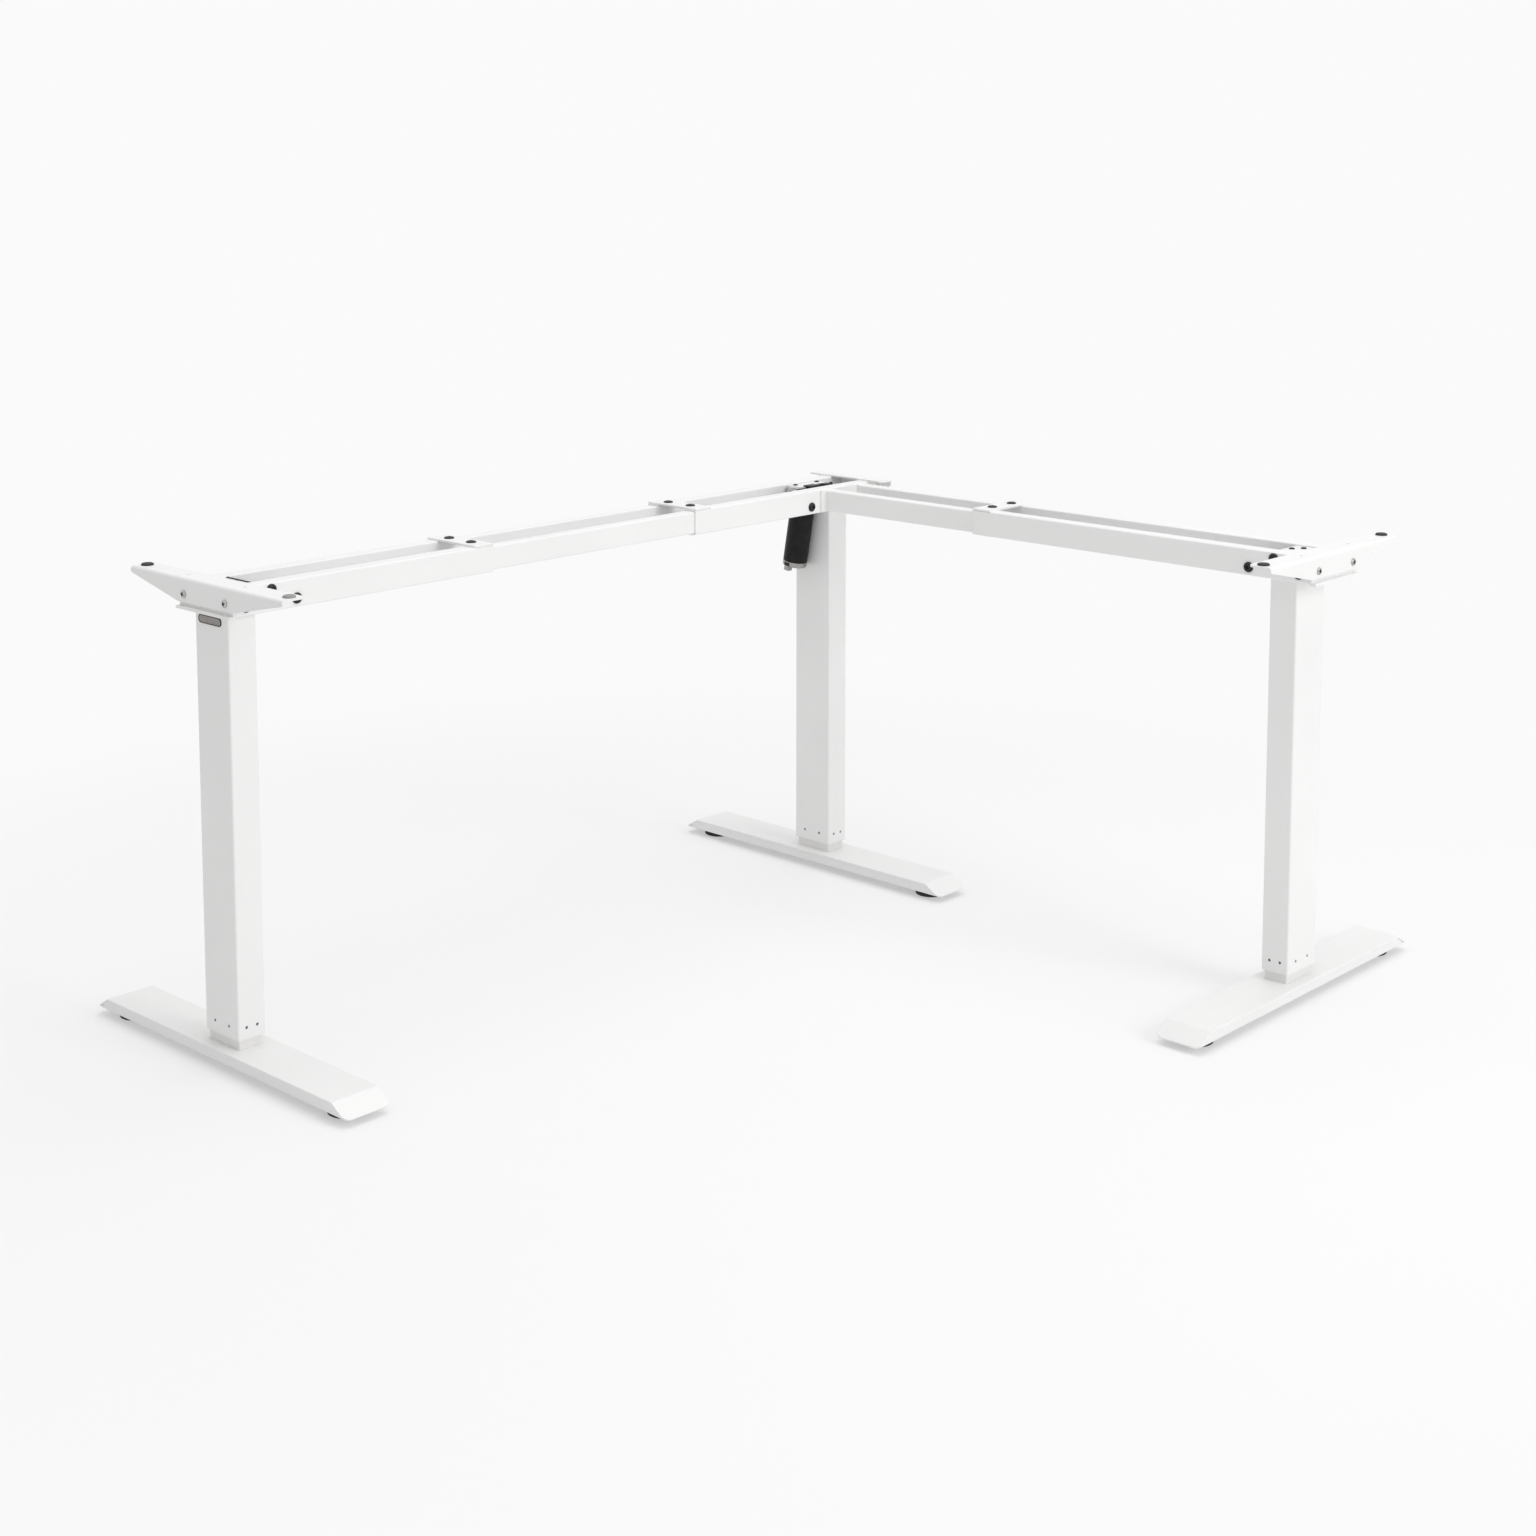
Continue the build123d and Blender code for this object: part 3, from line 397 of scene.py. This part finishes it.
def button_head(radius, rise):
    profile = [(radius, 0.0), (radius, 0.22 * rise), (0.95 * radius, 0.52 * rise),
               (0.82 * radius, 0.80 * rise), (0.64 * radius, 0.96 * rise), (0.50 * radius, rise)]
    shape = turned(profile, 24)
    bottom = [edge for edge in shape.edges if edge.is_boundary and edge.verts[0].co.z < 0.1 * rise]
    top = [edge for edge in shape.edges if edge.is_boundary and edge.verts[0].co.z > 0.9 * rise]
    bmesh.ops.holes_fill(shape, edges=bottom, sides=0)
    socket = bmesh.ops.create_circle(shape, cap_ends=False, segments=6, radius=0.36 * radius)["verts"]
    bmesh.ops.translate(shape, verts=socket, vec=(0, 0, rise))
    sides = list({edge for vert in socket for edge in vert.link_edges})
    bmesh.ops.subdivide_edges(shape, edges=sides, cuts=3)
    sides = [edge for edge in shape.edges if edge.is_wire]
    bmesh.ops.bridge_loops(shape, edges=top + sides)
    rim = [edge for edge in shape.edges if edge.is_boundary]
    wall = bmesh.ops.extrude_edge_only(shape, edges=rim)["geom"]
    low = [vert for vert in wall if isinstance(vert, bmesh.types.BMVert)]
    bmesh.ops.translate(shape, verts=low, vec=(0, 0, -0.55 * rise))
    bmesh.ops.holes_fill(shape, edges=[edge for edge in shape.edges if edge.is_boundary], sides=0)
    bmesh.ops.recalc_face_normals(shape, faces=shape.faces)
    return shape


for leg in LEGS:
    first = arm_insets[leg] - first_bolt
    last = arm_insets[leg] - bracket_ends[leg] + last_bolt
    rows = [(first, bolt_height), (last, bolt_height)]
    if leg != "corner":
        rows.append(((first + last) / 2, middle_bolt_height))
    sides = [Matrix.Translation((side * beam_half, y, z)) @ Matrix.Rotation(side * math.pi / 2, 4, "Y")
             for side in (-1, 1) for y, z in rows]
    if leg == "corner":
        for y in (-rail_bolt_reach, rail_bolt_reach):
            seat = Matrix.Translation((beam_half + end_plate, y, beam_axis))
            sides.append(seat @ Matrix.Rotation(math.pi / 2, 4, "Y"))
    tops = [at_leg(leg, (x, clamp_setback - sleeve_ends[leg], arm_top)) for x in (-clamp_reach, clamp_reach)]
    bolts = bmesh.new()
    put(bolts, button_head(bolt_radius, bolt_rise), [leg_place(leg) @ seat for seat in sides])
    put(bolts, button_head(bolt_radius, clamp_rise), tops)
    new_piece(f"button_bolts_{leg}", bolts, [black_oxide_and_painted_shadow], f"{leg}_frame",
              f"black_bolts_{leg}", 32.0)

# Drive: lead screws, shafts and bevel gears, turned and cut from bright steel. They run in cast
# housings with a satin skin, which sit on the columns between the sleeves.
turned_steel = bare_metal("turned_steel", (0.45, 0.45, 0.46, 1.0), 0.25, 0.42, 700.0)
cast_grey = moulded("cast_housing", (0.50, 0.50, 0.50, 1.0), 0.42, 0.58, 700.0, 0.35)
shafts = ["long_shaft_tube", "long_shaft_rod", "short_shaft_tube", "short_shaft_rod", "motor_rotor"]
dress([f"lead_screw_{leg}" for leg in LEGS] + shafts, turned_steel)
dress([f"gearbox_{leg}" for leg in LEGS], cast_grey)

# Gearbox covers: white coated plates screwed down on the housings with black button heads. On the
# corner leg the cover is narrower and leaves room for the motor's plugs. A thin black strip along the
# left cover's rear edge is painted shadow of the slit behind the cover.
cover_sizes = {"left": (0.058, 0.049), "corner": (0.036, 0.076), "right": (0.058, 0.044)}
cover_middles = {"left": (0.0, -0.0010), "corner": (-0.011, -0.0185), "right": (0.0, 0.0015)}
cover_thickness = 0.0015
cover_level = 0.69075
cover_top = 0.6915
cover_screw_radius = 0.0045
cover_screw_rise = 0.0020
shadow_strip_size = (0.060, 0.0022, 0.0014)
shadow_strip_middle = (0.0, -0.0246, 0.6925)
cover_screws = {"left": ((-0.006, -0.013), (0.010, -0.013)), "corner": ((-0.020, 0.010), (-0.020, -0.046)),
                "right": ((0.002, -0.010), (-0.013, 0.0016))}


def rounded_block(size, edge, segments):
    shape = bmesh.new()
    bmesh.ops.create_cube(shape, size=1.0)
    bmesh.ops.scale(shape, vec=size, verts=shape.verts)
    bmesh.ops.bevel(shape, geom=shape.edges[:], offset=edge, segments=segments, profile=0.5,
                    affect="EDGES", material=-1)
    return shape


for leg in LEGS:
    cover = bmesh.new()
    plate = rounded_block((*cover_sizes[leg], cover_thickness), 0.0005, 2)
    put(cover, plate, [at_leg(leg, (*cover_middles[leg], cover_level))])
    seats = [at_leg(leg, (x, y, cover_top)) for x, y in cover_screws[leg]]
    put(cover, button_head(cover_screw_radius, cover_screw_rise), seats, 1)
    if leg == "left":
        # A thin black strip along the left cover's rear edge: painted shadow of the slit behind the cover.
        put(cover, rounded_block(shadow_strip_size, 0.0004, 2), [at_leg(leg, shadow_strip_middle)], 1)
    new_piece(f"gearbox_cover_{leg}", cover, [white_coat, black_oxide_and_painted_shadow], f"{leg}_frame")

# Motor plugs: black moulded plugs and a cable boot on the corner housing, with a plated pin beside
# them and a small zinc screw that holds the end plug.
# This black also colours the painted reflection on the motor's end cap.
plug_black_and_painted_reflection = moulded("plug_black_and_painted_reflection", (0.010, 0.010, 0.010, 1.0), 0.3, 0.45, 1200.0, 0.15, 0.3)
plug_blocks = [((0.017, 0.026, 0.0062), (0.0170, -0.0445, 0.6930)),
               ((0.013, 0.018, 0.0056), (0.0185, -0.0100, 0.6928)),
               ((0.015, 0.034, 0.0110), (0.0170, -0.0797, 0.6850))]
plug_screw_radius = 0.0040
plug_screw_rise = 0.0020
boot_start = (0.0175, -0.0320, 0.6930)
hoop_middle = (0.0185, 0.0036, 0.6905)
pin_start = (0.0150, -0.0835, 0.6922)
plug_screw_seat = (0.0170, -0.0905, 0.6905)
boot_profile = [(0.0, 0.0), (0.0034, 0.0), (0.0034, 0.0130), (0.0026, 0.0140), (0.0, 0.0140)]
pin_profile = [(0.0, 0.0), (0.0020, 0.0), (0.0020, 0.0240), (0.0, 0.0240)]
hoop_radius = 0.0045
wire_radius = 0.0016
hoop_profile = [(hoop_radius + wire_radius * math.cos(step * math.pi / 6),
                 wire_radius * math.sin(step * math.pi / 6)) for step in range(13)]
corner = leg_place("corner")
plugs = bmesh.new()
for size, middle in plug_blocks:
    put(plugs, rounded_block(size, 0.0013, 3), [corner @ Matrix.Translation(middle)])
put(plugs, turned(boot_profile, 24), [corner @ Matrix.Translation(boot_start) @ along_beam])
put(plugs, turned(hoop_profile, 32),
    [corner @ Matrix.Translation(hoop_middle) @ Matrix.Rotation(math.pi / 2, 4, "Y")])
put(plugs, turned(pin_profile, 20), [corner @ Matrix.Translation(pin_start) @ along_beam], 1)
put(plugs, pan_head(plug_screw_radius, plug_screw_rise), [corner @ Matrix.Translation(plug_screw_seat)], 1)
new_piece("motor_plugs", plugs, [plug_black_and_painted_reflection, zinc, recess_painted_shade], "corner_frame")

# Motor: a drawn steel can painted satin black, closed by a die-cast zinc end cap. A black block on
# the side of the cap, above the cap's tab, is painted reflection: the dark spot the bright ring mirrors.
motor_black = moulded("motor_black", (0.009, 0.009, 0.0095, 1.0), 0.38, 0.5, 1200.0, 0.12, 0.14)
cast_zinc = bare_metal("cast_zinc", (0.42, 0.41, 0.40, 1.0), 0.30, 0.46, 900.0)
dress(["motor_housing"], motor_black)
dress(["motor_end_cap"], cast_zinc)
motor_offset = 0.046
motor_lean = math.radians(10.0)
# A black block on the cap's side: painted reflection, the dark spot that the bright ring mirrors.
cap_reflection_size = (0.011, 0.0024, 0.0060)
cap_reflection_middle = (0.0, 0.0212, 0.1225)
motor_turn = Matrix.Rotation(motor_lean, 4, "Y") @ Matrix.Rotation(math.pi, 4, "X")
motor_frame = corner @ Matrix.Translation((0.0, -motor_offset, beam_axis)) @ motor_turn
cap_reflection = bmesh.new()
put(cap_reflection, rounded_block(cap_reflection_size, 0.0005, 2), [motor_frame @ Matrix.Translation(cap_reflection_middle)])
new_piece("motor_cap_painted_reflection", cap_reflection, [plug_black_and_painted_reflection], "corner_frame")

# Studio: a pale paper floor that fades into an even white surround. The floor glows for the camera
# and for reflections, and still takes the frame's soft shadow.
surround = 0.955
floor_white = 0.90
floor_glow = 0.42
fade_start = 0.85
fade_end = 2.2
ambient = 0.66


def seen_directly(tree):
    rays = tree.nodes.new("ShaderNodeLightPath")
    seen = tree.nodes.new("ShaderNodeMath")
    seen.operation = "MAXIMUM"
    tree.links.new(rays.outputs["Is Camera Ray"], seen.inputs[0])
    tree.links.new(rays.outputs["Is Glossy Ray"], seen.inputs[1])
    return seen.outputs[0]


floor_mesh = bpy.data.meshes.new("studio_floor")
floor_shape = bmesh.new()
bmesh.ops.create_grid(floor_shape, x_segments=1, y_segments=1, size=40.0)
floor_shape.to_mesh(floor_mesh)
floor_shape.free()
floor = bpy.data.objects.new("studio_floor", floor_mesh)
bpy.context.scene.collection.objects.link(floor)
floor_finish, tree, shader, place = new_finish("studio_floor")
shader.inputs["Base Color"].default_value = (floor_white, floor_white, floor_white, 1.0)
shader.inputs["Roughness"].default_value = 0.9
shader.inputs["Specular IOR Level"].default_value = 0.0
far = tree.nodes.new("ShaderNodeVectorMath")
far.operation = "LENGTH"
tree.links.new(place, far.inputs[0])
fade = tree.nodes.new("ShaderNodeMapRange")
fade.interpolation_type = "SMOOTHSTEP"
fade.inputs["From Min"].default_value = fade_start
fade.inputs["From Max"].default_value = fade_end
fade.inputs["To Min"].default_value = floor_glow
tree.links.new(far.outputs["Value"], fade.inputs["Value"])
share = tree.nodes.new("ShaderNodeMath")
share.operation = "MULTIPLY"
tree.links.new(fade.outputs["Result"], share.inputs[0])
tree.links.new(seen_directly(tree), share.inputs[1])
glow = tree.nodes.new("ShaderNodeEmission")
glow.inputs["Color"].default_value = (surround, surround, surround, 1.0)
blend = tree.nodes.new("ShaderNodeMixShader")
tree.links.new(share.outputs[0], blend.inputs["Fac"])
tree.links.new(shader.outputs["BSDF"], blend.inputs[1])
tree.links.new(glow.outputs["Emission"], blend.inputs[2])
tree.links.new(blend.outputs["Shader"], tree.nodes["Material Output"].inputs["Surface"])
floor_mesh.materials.append(floor_finish)

world = bpy.data.worlds.new("studio")
bpy.context.scene.world = world
world.use_nodes = True
tree = world.node_tree
backdrop = tree.nodes["Background"]
backdrop.inputs["Color"].default_value = (surround, surround, surround, 1.0)
level = tree.nodes.new("ShaderNodeMapRange")
level.inputs["To Min"].default_value = ambient
level.inputs["To Max"].default_value = 1.0
tree.links.new(seen_directly(tree), level.inputs["Value"])
tree.links.new(level.outputs["Result"], backdrop.inputs["Strength"])

# Lamps: two square softboxes, a near one to the right of the frame and a large one high above it.
# They light the faces that turn right and the tops of the feet.


def softbox(name, place, aim, size, power):
    lamp = bpy.data.lights.new(name, "AREA")
    lamp.shape = "SQUARE"
    lamp.size = size
    lamp.energy = power
    holder = bpy.data.objects.new(name, lamp)
    holder.location = place
    holder.rotation_euler = (Vector(aim) - Vector(place)).to_track_quat("-Z", "Y").to_euler()
    bpy.context.scene.collection.objects.link(holder)


softbox("lamp_right", (5.2, 0.7, 2.7), (0.0, 0.0, 0.4), 2.4, 91.0)
softbox("lamp_above", (0.2, 0.4, 6.0), (0.0, 0.0, 0.0), 5.0, 136.0)

# Camera: the photo's view, from the front right and a little above the frame, with the lens
# shifted down to keep the uprights nearly parallel.
lens = bpy.data.cameras.new("photo_view")
lens.sensor_width = 36.0
lens.lens = 55.526
lens.shift_y = -0.25
lens.clip_start = 0.05
lens.clip_end = 200.0
eye = bpy.data.objects.new("photo_view", lens)
eye.location = (2.4099, -2.6202, 1.3298)
eye.rotation_euler = (math.radians(90.0 - 6.3043), 0.0, math.radians(42.988))
bpy.context.scene.collection.objects.link(eye)
bpy.context.scene.camera = eye
bpy.context.scene.view_settings.view_transform = "Standard"
